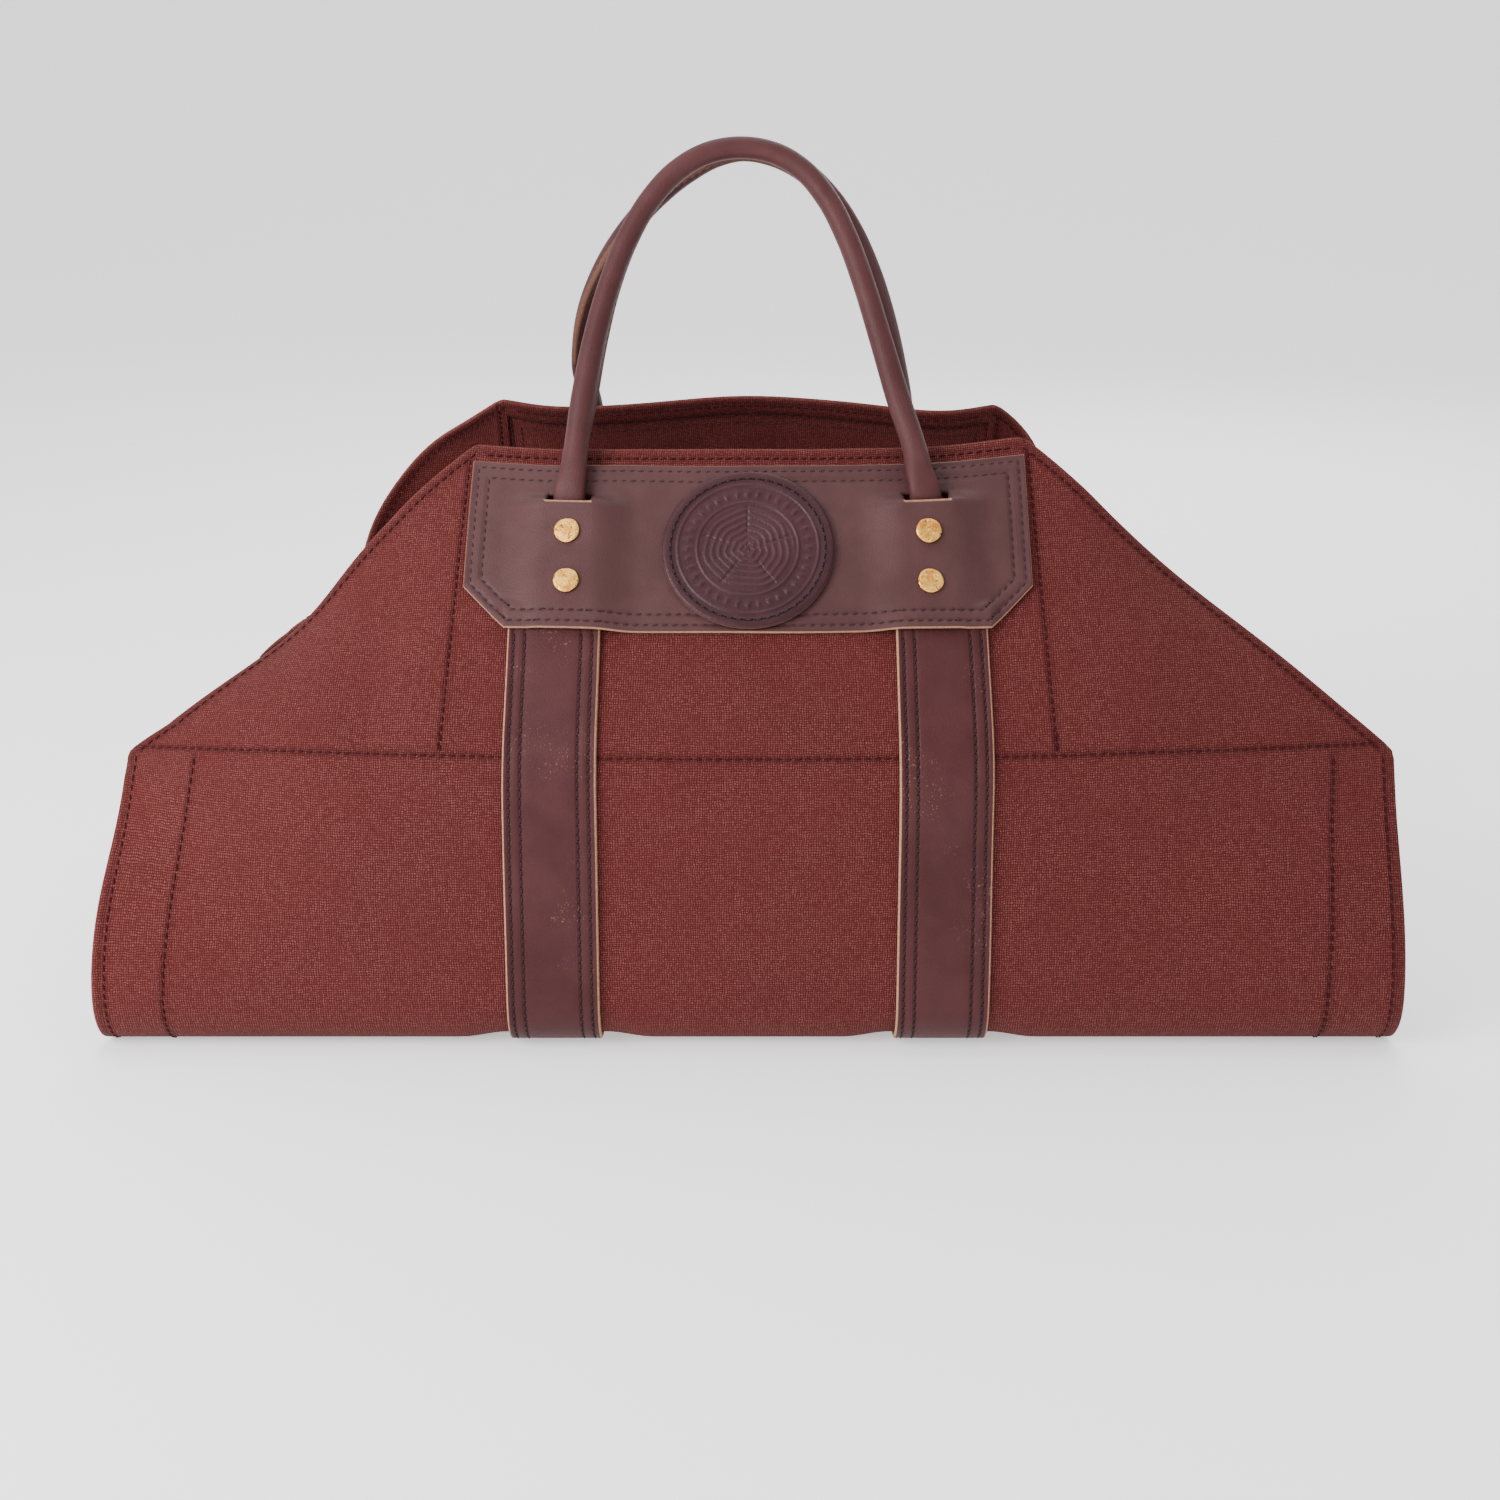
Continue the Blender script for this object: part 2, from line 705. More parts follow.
@dataclass(frozen=True)
class Hide:
    """Oiled leather with pale raw edges, faint grain and rows of needle pressure."""

    name: str
    colour: Paint
    light: Paint
    dark: Paint
    raw: Paint = (0.4, 0.22, 0.13)
    roughness: float = 0.42
    grain: float = 0.00006
    scuffed: float = 0.0
    gloss: float = 0.3

    def material(self) -> bpy.types.Material:
        """Builds the material. It reads the values rim and row on the points."""
        g = Graph(self.name)
        rim, row = g.value("rim"), g.value("row")
        cloud = g.noise(14.0, 4.0)
        mottle = g.noise(70.0, 5.0)
        fibre = g.noise(900.0, 2.0)
        spots = g.node("ShaderNodeTexVoronoi", {"feature": "F1"},
                       {"Vector": g.node("ShaderNodeTexCoord", None, None, "Object"),
                        "Scale": 1300.0}, "Distance")
        base = g.mix((cloud * 0.6 + mottle * 0.4).ramp(0.35, 0.68), self.dark, self.light)
        base = g.mix(0.5, base, self.colour)
        base = g.mix(row * 0.4, base, self.dark)
        if self.scuffed:
            flakes = g.noise(950.0, 2.0).ramp(0.64, 0.69) * g.noise(26.0, 3.0).ramp(0.54, 0.64)
            base = g.mix(flakes * self.scuffed, base, self.raw)
        edge = rim.ramp(0.35, 0.75)
        raw = g.mix(fibre.ramp(0.3, 0.7), self.raw, self.light)
        raw = g.mix(0.35, self.raw, raw)
        base = g.mix(edge, base, raw)
        height = spots * 0.5 + mottle * 0.8 + fibre * 0.3 - row * 2.0
        normal = g.bump(height, self.grain * 4)
        rough = self.roughness + (mottle - 0.5) * 0.16 + edge * 0.4
        return g.finish(base, rough, normal, Specular_IOR_Level=self.gloss)


@dataclass(frozen=True)
class Thread:
    """Waxed thread, twisted, darker where it goes into its needle hole."""

    name: str
    colour: Paint
    dark: Paint

    def material(self) -> bpy.types.Material:
        """Builds the material. It reads the values twist and hole on the points."""
        g = Graph(self.name)
        twist, hole = g.value("twist"), g.value("hole")
        base = g.mix((twist * 2 * math.pi).sine() * 0.25 + 0.25, self.colour, self.dark)
        base = g.mix(hole, base, self.dark)
        return g.finish(base, 0.7, None, Specular_IOR_Level=0.12)


@dataclass(frozen=True)
class Brass:
    """Dulled rivet brass with a coppery cast and fine scratches."""

    name: str = "rivet_metal"
    colour: Paint = (0.74, 0.31, 0.055)
    bright: Paint = (0.97, 0.57, 0.14)
    dark: Paint = (0.13, 0.05, 0.02)

    def material(self) -> bpy.types.Material:
        """Builds the material."""
        g = Graph(self.name)
        cloud = g.noise(260.0, 4.0)
        scratch = g.noise(1500.0, 3.0)
        base = g.mix(cloud.ramp(0.35, 0.65), self.colour, self.bright)
        pits = g.noise(620.0, 2.0)
        base = g.mix(pits.ramp(0.6, 0.7) * 0.8, base, self.dark)
        normal = g.bump(scratch * 0.5 + cloud - pits.ramp(0.55, 0.7), 0.00022)
        return g.finish(base, 0.32 + cloud * 0.2, normal, Metallic=1.0)


@dataclass(frozen=True)
class Stitching:
    """Lock stitches of one thread: short rounded loops sunk at both ends."""

    pitch: float = 4.7
    length: float = 3.5
    thickness: float = 0.95
    sink: float = 0.45
    slant: float = 0.1
    hole: float = 0.0
    rings: int = 6
    sides: int = 5

    def row(self, path: Array, out: Array, seed: int, closed: bool = False) -> Surface:
        """Lays stitches along a path, a pitch apart.

        A stitch is a tube about a line as long as it is, lifted by half its
        thickness in the middle, and sunk as the fourth power of the way to its
        ends. Its radius shrinks there as one less a third of the square.

        Args:
            path: Points of the path on the surface.
            out: The outward direction at each point.
            seed: Picks the small unevenness.
            closed: Whether the path's ends meet.

        Returns:
            All the stitches as one surface.
        """
        steps = np.linalg.norm(np.diff(path, axis=0), axis=1)
        place = np.concatenate([[0.0], np.cumsum(steps)])
        count = max(1, int(round((place[-1] - (0 if closed else self.length)) / self.pitch)))
        pitch = place[-1] / count if closed else self.pitch
        start = (place[-1] - pitch * (count - 1)) / 2
        centres = start + pitch * np.arange(count)

        def at(where: Array, what: Array) -> Array:
            """What lies at distances along the path, by straight lines between points."""
            return np.stack([np.interp(where, place, what[:, k]) for k in range(3)], -1)

        random = np.random.default_rng(seed)
        centre, normal = at(centres, path), unit(at(centres, out))
        ahead = unit(at(centres + 0.4, path) - at(centres - 0.4, path))
        aside = unit(np.cross(normal, ahead))
        lean = self.slant + random.normal(0.0, 0.03, count)[:, None]
        ahead, aside = unit(ahead + aside * lean), unit(aside - ahead * lean)
        t = np.linspace(-1.0, 1.0, self.rings)[None, :, None]
        angle = (2 * math.pi * np.arange(self.sides) / self.sides)[None, None, :]
        radius = self.thickness / 2 * (1 - 0.35 * t**2)
        jitter = 1 + random.normal(0.0, 0.05, count)[:, None, None]
        onward = t * self.length / 2 * jitter + 0 * angle
        height = self.thickness * 0.3 - (self.sink + self.thickness * 0.3) * t**4
        high = height + radius * np.sin(angle) * jitter
        wide = radius * np.cos(angle) + 0 * t

        def placed(onward: Array, wide: Array, high: Array | float) -> Array:
            """Points of every stitch: its centre plus three distances along its axes."""
            axes = ((onward, ahead), (wide + 0 * onward, aside), (high + 0 * onward, normal))
            points = centre[:, None, None, :]
            for distance, axis in axes:
                points = points + distance[..., None] * axis[:, None, None, :]
            return points.reshape(-1, 3)

        index = np.arange(self.rings * self.sides).reshape(self.rings, self.sides)
        after = np.roll(index, -1, axis=1)
        walls = np.stack([index[:-1], index[1:], after[1:], after[:-1]], -1).reshape(-1, 4)
        caps = np.stack([index[0], index[-1][::-1]])
        first = (np.arange(count) * self.rings * self.sides)[:, None, None]
        faces = [(walls[None] + first).reshape(-1, 4), (caps[None] + first).reshape(-1, 5)]
        shape = (count, self.rings, self.sides)
        twist = np.broadcast_to(t * 1.6 + angle / (2 * math.pi), shape)
        hole = np.broadcast_to(np.abs(t) ** 6 + 0 * angle, shape)
        values = {"twist": twist.reshape(-1), "hole": hole.reshape(-1)}
        sewn = Surface(placed(onward, wide, high), faces, None, values)
        if not self.hole:
            return sewn
        turn = 2 * math.pi * np.arange(6) / 6
        end = np.array([-1.0, 1.0])[None, :, None] * self.length / 2 * 0.96
        onward = end + self.hole * np.cos(turn)
        spots = placed(onward, self.hole * 0.8 * np.sin(turn), HOLE_LIFT)
        ones = np.ones(len(spots))
        flat = np.arange(len(spots)).reshape(-1, 6)
        return joined([sewn, Surface(spots, [flat], None, {"twist": ones, "hole": ones})])


HOLE_LIFT = 0.05
THREAD_SINK = 0.22
CANVAS_LAYER = 1.2
HEM_END = 12.6
CANVAS_THREAD = Stitching(4.7, 3.7, 0.9, 0.4, 0.12)
PLATE_THREAD = Stitching(4.75, 3.5, 0.7, 0.45, 0.12, 0.68)
STRAP_THREAD = Stitching(4.3, 3.1, 0.65, 0.45, 0.12, 0.62)
HANDLE_THREAD = Stitching(4.6, 3.4, 0.7, 0.4, 0.05, 0.5)


def dressed(surface: Surface, name: str, material: bpy.types.Material, slot: str,
            *nodes: str) -> bpy.types.Object:
    """Makes a piece, gives it its finish and says what it stands for.

    Args:
        surface: Its shape.
        name: Its name.
        material: Its finish.
        slot: The record's slot that the finish belongs to.
        *nodes: The nodes that it replaces.

    Returns:
        The piece.
    """
    piece = surface.mesh(name)
    piece.data.materials.append(material)
    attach(piece, "root")
    if nodes:
        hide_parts(*nodes)
    LOG.info("%s: %d points, %d faces", name, len(surface.points), len(piece.data.polygons))
    return piece


def rounding(distance: Array, radius: float) -> Array:
    """The share of a sheet's thickness near its edge, as a quarter circle rises."""
    x = np.clip(distance / radius, 0.0, 1.0)
    return np.sqrt(np.maximum(1.0 - (1.0 - x) ** 2, 0.0))


@dataclass
class CanvasSheet:
    """The one wide sheet, hemmed and with its corners folded in."""

    drape: Drape
    layer: float = CANVAS_LAYER
    top_hem: float = 12.0
    step: float = 0.6
    edge_radius: float = 1.3
    stitch_inset: float = 5.0
    side_inset: float = 6.5
    seam_inset: float = 4.0
    fold_seam: tuple[float, float] = (142.0, 147.0)
    hem_seams: dict[End, tuple[float, float]] = field(default_factory=lambda: {
        End.LEFT: (275.0, 283.0), End.RIGHT: (285.0, 280.0)})
    free_edge: float = 4.5

    def fold_line(self, down: Array) -> Array:
        """Distance across to the seam of a folded corner, which slants."""
        high, low = self.fold_seam
        return high + (low - high) * np.clip(down / self.drape.corner_drop, 0.0, 1.0)

    def hem_line(self, end: End, down: Array) -> Array:
        """Distance across to the seam of a side hem, which slants down the walls."""
        high, low = self.hem_seams[end]
        share = np.clip((down - self.drape.corner_drop) / self.drape.wall_run, 0.0, 1.0)
        return high + (low - high) * share

    def past_hem(self, u: Array, down: Array) -> Array:
        """Distance outwards from the seam of the hem on that side."""
        left, right = (self.hem_line(end, down) for end in End)
        return np.abs(u) - np.where(u < 0, left, right)

    def lines(self, down: Array) -> Array:
        """Places across for each row, in zones between edge, hem, fold and fold."""
        d = self.drape
        half = d.half_width(down)[:, None]
        fold = self.fold_line(down)[:, None] - self.free_edge
        fold = np.minimum(fold, half - 3.0)
        middle = np.linspace(-1.0, 1.0, 70)[None, :] * (fold - self.step)
        sides = []
        for end in End:
            hem = np.maximum(self.hem_line(end, down)[:, None] - self.free_edge, half * 0.5)
            share = (half - hem) / (half - fold)
            outer = spread([(0.0, 0), (0.02, 1), (0.06, 1), (0.12, 1), (1.0, 9)])[None, :]
            inner = spread([(0.0, 0), (1.0, 30)])[None, 1:]
            step = np.minimum(self.step / (half - fold), (1 - share) * 0.5)
            share = np.clip(share, 0.12, 0.5)
            reach = np.concatenate([outer * share, share + step,
                                    share + step + inner * (1 - share - step)], axis=1)
            sides.append(half + (fold - half) * reach)
        return np.concatenate([-sides[0], middle, sides[1][:, ::-1]], axis=1)

    def rows(self) -> Array:
        """Places along for the rows, close together at edges and steps."""
        d = self.drape
        stops = [(0.0, 0), (0.25, 1), (0.7, 1), (1.4, 1), (3.5, 1), (self.top_hem, 2),
                 (self.top_hem + self.step, 1), (d.corner_drop - self.step / 2, 38),
                 (d.corner_drop + self.step / 2, 1), (d.wall_end, 28),
                 (d.wall_end + d.bend_run, 12), (d.length, 30)]
        down = spread(stops)
        return np.concatenate([down - d.length, (d.length - down)[::-1][1:]])

    def depth(self, u: Array, down: Array) -> Array:
        """The cloth's thickness: one layer, and one more in hems and folded corners."""
        d = self.drape
        hem = ease((self.past_hem(u, down) + self.free_edge + self.step) / self.step)
        fold = np.abs(u) - self.fold_line(down) + self.free_edge + self.step
        fold = ease(fold / self.step)
        upper = ease((d.corner_drop + self.step / 2 - down) / self.step)
        top = ease((self.top_hem + self.step - down) / self.step)
        doubled = np.maximum(np.maximum(upper * fold, (1 - upper) * hem), top)
        return self.layer * (1.0 + doubled)

    def surface(self) -> Surface:
        """The closed sheet: a grid of outer points, and inner ones a layer or two behind."""
        d = self.drape
        along = self.rows()
        down = d.length - np.abs(along)
        u = self.lines(down)
        v = np.broadcast_to(along[:, None], u.shape)
        fall = np.broadcast_to(down[:, None], u.shape)
        slope = math.cos(math.atan2(d.corner_drop, (d.cloth_width - d.top_width) / 2))
        aside = d.half_width(down)[:, None] - np.abs(u)
        beside = aside * np.where(fall < d.corner_drop, slope, 1.0)
        edge = np.minimum(beside, fall)
        full = rounding(edge, self.edge_radius)
        depth = self.depth(u, fall)
        point, normal = d.point(u, v), d.normal(u, v)
        outer = point - normal * (depth / 2 * (1 - full))[..., None]
        inner = point - normal * (depth / 2 * (1 + full))[..., None]
        uv = np.stack([u, v], -1)
        held = {"edge": edge, "seam": fall - d.corner_drop + self.seam_inset,
                "hem": self.past_hem(u, fall), "fold": np.abs(u) - self.fold_line(fall)}
        return slab(outer, inner, uv, {k: np.stack([a, a]) for k, a in held.items()})

    def seams(self) -> list[tuple[Array, Array]]:
        """Where the cloth is stitched, as places across and along."""
        d = self.drape
        rows = []
        for panel in Panel:
            sign = panel.value
            seam = sign * (d.length - d.corner_drop + self.seam_inset)
            across = np.linspace(-1, 1, 240) * (d.cloth_width / 2 - 7.0)
            rows.append((across, np.full(240, seam)))
            top = np.linspace(-1, 1, 120) * (d.top_width / 2 - 6.0)
            rows.append((top, np.full(120, sign * (d.length - 6.0))))
            for end in End:
                down = np.linspace(7.0, d.corner_drop - self.seam_inset, 90)
                rows.append((end.value * self.fold_line(down), sign * (d.length - down)))
                short = down[-9:]
                rows.append((end.value * (self.fold_line(short) + 0.8),
                             sign * (d.length - short)))
                down = np.linspace(4.0, d.corner_drop + 2.0, 90)
                slope = math.atan2(d.corner_drop, (d.cloth_width - d.top_width) / 2)
                half = d.half_width(down) - self.stitch_inset / math.sin(slope)
                rows.append((end.value * half, sign * (d.length - down)))
        reach = d.length - d.corner_drop
        along = np.linspace(-reach, reach, 400)
        for end in End:
            side = d.cloth_width / 2 - self.side_inset
            rows.append((np.full(400, end.value * side), along))
            rows.append((end.value * self.hem_line(end, d.length - np.abs(along)), along))
        return rows

    def stitches(self) -> Surface:
        """Thread on both faces of the cloth along every seam."""
        made = []
        for k, (u, along) in enumerate(self.seams()):
            down = self.drape.length - np.abs(along)
            out = self.drape.normal(u, along)
            depth = self.depth(u, down)
            made.append(CANVAS_THREAD.row(self.drape.on(u, along, 0 * u), out, 10 + k))
            made.append(CANVAS_THREAD.row(self.drape.on(u, along, -depth), -out, 70 + k))
        return joined(made)

    def build(self) -> None:
        """Makes the sheet and its thread."""
        finish = Duck("duck_canvas").material()
        cloth = dressed(self.surface(), "duck_cloth", finish, "canvas", "canvas_sheet")
        thread = Thread("canvas_thread", (0.045, 0.0035, 0.005), (0.012, 0.001, 0.0015))
        sewn = dressed(self.stitches(), "canvas_stitches", thread.material(), "canvas")


@dataclass
class HandlePlate:
    """The leather plate that the handles are riveted through."""

    drape: Drape
    panel: Panel
    width: float = 280.0
    height: float = 90.0
    top: float = 11.0
    chamfer: float = 22.0
    handle_centre: float = 88.5
    slot_width: float = 23.0
    slot_height: float = 7.0
    slot_inset: float = 17.0
    lip_gap: float = 0.7
    tuck: float = 9.0
    lap: float = 8.0
    rows_in: tuple[float, float] = (3.6, 9.2)
    edge_radius: float = 0.8
    press: float = 0.16

    @property
    def slot_top(self) -> float:
        """Distance of the slots' upper lips from the top edge of the cloth."""
        return self.top + self.slot_inset

    @property
    def slot_bottom(self) -> float:
        """Distance of the slots' lower lips from the top edge of the cloth."""
        return self.slot_top + self.slot_height

    @property
    def bottom(self) -> float:
        """Distance of the plate's lower edge from the top edge of the cloth."""
        return self.top + self.height

    def deep_in(self, u: Array, down: Array) -> Array:
        """Distance in from the outline: its sides, top, bottom and cut corners."""
        low = np.minimum(down - self.top, self.bottom - down)
        side = self.width / 2 - np.abs(u)
        corner = (side + (self.bottom - down) - self.chamfer) * math.sqrt(0.5)
        return np.minimum(np.minimum(low, side), corner)

    def lift(self, u: Array, down: Array) -> Array:
        """How far the plate stands off the cloth, over a handle's tab or a strap."""
        d = self.drape
        beside = np.abs(np.abs(u) - self.handle_centre)
        over_tab = 1 - ease((beside - self.slot_width / 2) / self.slot_width)
        below = np.clip((down - self.slot_top) / self.slot_height, 0, 1)
        share = (np.maximum(down, self.slot_bottom) - self.top) / self.height
        shares = [row.down for row in reversed(TAB)]
        thick = np.interp(share, shares, [row.thick for row in reversed(TAB)])
        thick += np.maximum(shares[0] - share, 0.0) * 0.86
        tab = (RolledHandle.diameter * thick + self.lip_gap) * over_tab * below
        beside = np.abs(np.abs(u) - d.strap_centre) - d.strap_width / 2
        start = self.bottom - self.tuck
        lap = ease((down - (start - self.lap)) / (self.lap - 1.0))
        strap = (d.leather + d.seat) * (1 - ease((beside - 0.5) / 8.0)) * lap
        return d.seat + np.maximum(tab, strap)

    def face(self, u: Array, down: Array, height: Array) -> Array:
        """Places at a height above the plate's inner face."""
        height = self.lift(u, down) + height
        return self.drape.on(u, self.panel.value * (self.drape.length - down), height)

    def surface(self) -> Surface:
        """The plate: a grid whose lines meet its slots, drawn in below at its cut corners."""
        near = self.handle_centre - self.slot_width / 2
        far = self.handle_centre + self.slot_width / 2
        half = [(0.0, 0), (near, 44), (far, 14), (self.width / 2 - 1.2, 20)]
        rim = [(self.width / 2 - 1.2, 0), (self.width / 2 - 0.8, 1),
               (self.width / 2 - 0.25, 1), (self.width / 2, 1)]
        right = np.concatenate([spread(half), spread(rim)[1:]])
        across = np.concatenate([-right[:0:-1], right])
        bottom = self.bottom
        down = spread([(self.top, 0), (self.top + 0.25, 1), (self.top + 0.8, 1),
                       (self.top + 1.2, 1), (self.slot_top, 9), (self.slot_bottom, 5),
                       (bottom - self.chamfer, 22), (bottom - 1.2, 16), (bottom - 0.8, 1),
                       (bottom - 0.25, 1), (bottom, 1)])
        down = down if self.panel is Panel.FRONT else down[::-1]
        fall = np.broadcast_to(down[:, None], (len(down), len(across)))
        line = np.broadcast_to(across[None, :], fall.shape)
        cut = np.maximum(fall - (bottom - self.chamfer), 0.0)
        hold = self.drape.strap_centre + self.drape.strap_width / 2 - 2.0
        past = np.maximum(np.abs(line) - hold, 0.0) / (self.width / 2 - hold)
        u = np.sign(line) * (np.abs(line) - past * cut)
        middle_u, middle_d = (u[:-1, :-1] + u[1:, 1:]) / 2, (fall[:-1] + fall[1:])[:, 1:] / 2
        beside = np.abs(np.abs(middle_u) - self.handle_centre)
        kept = ~((beside < self.slot_width / 2) & (middle_d > self.slot_top)
                 & (middle_d < self.slot_bottom))
        edge = self.deep_in(u, fall)
        full = rounding(edge, self.edge_radius)
        leather = self.drape.leather
        row = sum(bell((edge - inset) / 0.8) for inset in self.rows_in)
        outer = self.face(u, fall, leather / 2 * (1 + full) - self.press * row)
        inner = self.face(u, fall, leather / 2 * (1 - full))
        aside = np.maximum(np.abs(np.abs(u) - self.handle_centre) - self.slot_width / 2, 0.0)
        lip = np.hypot(aside, fall - self.slot_bottom) + 9.0 * (fall < self.slot_bottom - 0.1)
        rim_value = 1 - ease(np.minimum(edge, lip + 0.1) / 0.75)
        values = {"rim": np.stack([rim_value, np.ones_like(rim_value)]),
                  "row": np.stack([row, 0 * row])}
        uv = np.stack([u, fall], -1)
        return slab(outer, inner, uv, values, kept)

    def outline(self, inset: float) -> tuple[Array, Array]:
        """A closed path inside the outline, by that much, as places across and down."""
        side = self.width / 2 - inset
        high, low = self.top + inset, self.bottom - inset
        cut = self.chamfer - inset * (2 - math.sqrt(2))
        corners = np.array([(-side, high), (-side, low - cut), (-side + cut, low),
                            (side - cut, low), (side, low - cut), (side, high), (-side, high)])
        parts = [np.linspace(a, b, 80)[:-1] for a, b in zip(corners, corners[1:])]
        path = np.concatenate([*parts, corners[-1:]])
        return path[:, 0], path[:, 1]

    def stitches(self) -> Surface:
        """Two closed rows of thread round the plate."""
        made = []
        for k, inset in enumerate(self.rows_in):
            u, down = self.outline(inset)
            path = self.face(u, down, self.drape.leather - THREAD_SINK + 0 * u)
            above = self.face(u, down, self.drape.leather + 1.0 + 0 * u)
            seed = 200 + 10 * k + self.panel.value
            made.append(PLATE_THREAD.row(path, unit(above - path), seed, True))
            along = self.panel.value * (self.drape.length - down)
            back = self.drape.on(u, along, -CANVAS_LAYER - CANVAS_LAYER * (down < HEM_END) + 0 * u)
            out = self.drape.normal(u, along)
            made.append(CANVAS_THREAD.row(back, -out, seed + 5, True))
        return joined(made)

    def build(self, finish: bpy.types.Material, thread: bpy.types.Material) -> None:
        """Makes the plate and its thread."""
        side = self.panel.name.lower()
        dressed(self.surface(), f"plate_{side}", finish, "plate_leather",
                f"handle_plate_{side}")
        dressed(self.stitches(), f"plate_stitches_{side}", thread, "plate_leather")


@dataclass(frozen=True)
class Section:
    """A handle's section below the plate's top, in shares of the plate and handle."""

    down: float
    wide: float
    thick: float


TAB = (
    Section(0.86, 1.0, 0.3),
    Section(0.65, 1.0, 0.32),
    Section(0.5, 0.97, 0.37),
    Section(0.36, 0.88, 0.49),
)


@dataclass
class RolledHandle:
    """A strip of leather rolled up, sewn along one side, flat at its ends."""

    drape: Drape
    plate: HandlePlate
    diameter: float = 11.5
    tab_width: float = 20.0
    apex: float = 428.0
    gap: float = 6.5
    shift: float = -4.0
    drop: float = 2.0
    fin: float = 3.4
    fin_thickness: float = 3.2
    steps: int = 260
    sides: int = 36
    knee_height: float = 0.553
    flat_length: float = 560.0

    def across(self, end: End, down: Array) -> Array:
        """Where a leg's middle is, which leans inwards from the slot upwards."""
        plate = self.plate
        share = ease((plate.slot_bottom - down) / (plate.slot_bottom - plate.top))
        return end.value * (plate.handle_centre - ARCHES[plate.panel, end][2] * share)

    def leg(self, end: End) -> dict[str, Array]:
        """The stations from the end of a tab up to the plate's top edge."""
        plate, d = self.plate, self.drape
        clear = 2 * d.seat + d.leather
        slot = plate.slot_height
        table = [(plate.top + row.down * plate.height, row.wide, row.thick, 0.0) for row in TAB]
        table += [(plate.slot_bottom, 0.78, 0.56, 0.0),
                  (plate.slot_top + slot * 0.55, 0.76, 0.6, 0.5),
                  (plate.slot_top, 0.74, 0.64, 1.25),
                  ((plate.slot_top + plate.top) / 2, 0.68, 0.8, 1.4)]
        down, wide, thick, lift = (np.array(c) for c in zip(*table))
        thick = thick * self.diameter
        u = self.across(end, down)
        along = plate.panel.value * (d.length - down)
        height = d.seat + lift * (clear - d.seat) + thick / 2
        return {"centre": d.on(u, along, height), "out": d.normal(u, along),
                "wide": wide * self.tab_width, "thick": thick,
                "fin": np.zeros(len(down)), "lean": np.full(len(down), -end.value * 40.0)}

    def arch(self) -> dict[str, Array]:
        """The stations of the arch: two cubic curves that meet at the top."""
        plate, d = self.plate, self.drape
        sign = plate.panel.value
        clear = 2 * d.seat + d.leather
        high = self.apex - (self.drop if plate.panel is Panel.BACK else 0.0)
        apex = np.array([self.shift, sign * (self.diameter + self.gap) / 2, high])
        t = np.linspace(0.0, 1.0, 17)
        halves, starts = [], []
        for end in End:
            knee_out, crown_out, _ = ARCHES[plate.panel, end]
            u = self.across(end, np.array([plate.top]))
            along = sign * (d.length - np.array([plate.top]))
            start = d.on(u, along, np.array([clear + 0.55 * self.diameter]))[0]
            knee = start + (apex - start) * self.knee_height
            knee[0] = end.value * plate.handle_centre * knee_out
            knee[1] = start[1] + (apex[1] - start[1]) * self.knee_height * 1.25
            crown = apex.copy()
            crown[0] = end.value * plate.handle_centre * crown_out
            s = (2 * t[t <= 0.5])[:, None]
            halves.append((1 - s) ** 3 * start + 3 * s * (1 - s) ** 2 * knee
                          + 3 * s * s * (1 - s) * crown + s**3 * apex)
            starts.append((start, d.normal(u, along)[0]))
        centre = np.concatenate([halves[0], halves[1][::-1][1:]])
        rise = apex - starts[0][0]
        rise[0] = 0.0
        rise = unit(rise)
        face = np.array([0.0, sign * rise[2], -sign * rise[1]])
        end_share = np.clip(np.minimum(t, 1 - t) * 6, 0, 1)[:, None]
        out = unit(starts[0][1] * (1 - end_share) + face * end_share)
        share = end_share[:, 0]
        return {"centre": centre, "out": out, "wide": self.diameter * (1.1 - 0.1 * share),
                "thick": self.diameter * (0.95 + 0.05 * share),
                "fin": self.fin * ease(np.minimum(t, 1 - t) * 12),
                "lean": 40.0 - 75.0 * t}

    def stations(self) -> dict[str, Array]:
        """Every station along the handle, drawn smoothly through the few that are given.

        Between two stations a value follows the cubic that has the mean slope of
        its neighbours at both ends.
        """
        left, arch, right = self.leg(End.LEFT), self.arch(), self.leg(End.RIGHT)
        rough = {k: np.concatenate([left[k], arch[k], right[k][::-1]]) for k in left}
        centre = rough["centre"]
        gaps = np.linalg.norm(np.diff(centre, axis=0), axis=1)
        place = np.concatenate([[0.0], np.cumsum(gaps)])
        wanted = np.linspace(0.0, place[-1], self.steps)
        cell = np.clip(np.searchsorted(place, wanted, side="right") - 1, 0, len(place) - 2)
        span = place[cell + 1] - place[cell]
        t = (wanted - place[cell]) / span
        basis = (2 * t**3 - 3 * t**2 + 1, t**3 - 2 * t**2 + t, 3 * t**2 - 2 * t**3, t**3 - t**2)
        made = {}
        for key, value in rough.items():
            value = value.reshape(len(place), -1)
            slope = np.gradient(value, place, axis=0)
            a, b, c, e = (w[:, None] for w in basis)
            made[key] = (a * value[cell] + b * span[:, None] * slope[cell]
                         + c * value[cell + 1] + e * span[:, None] * slope[cell + 1])
        return made

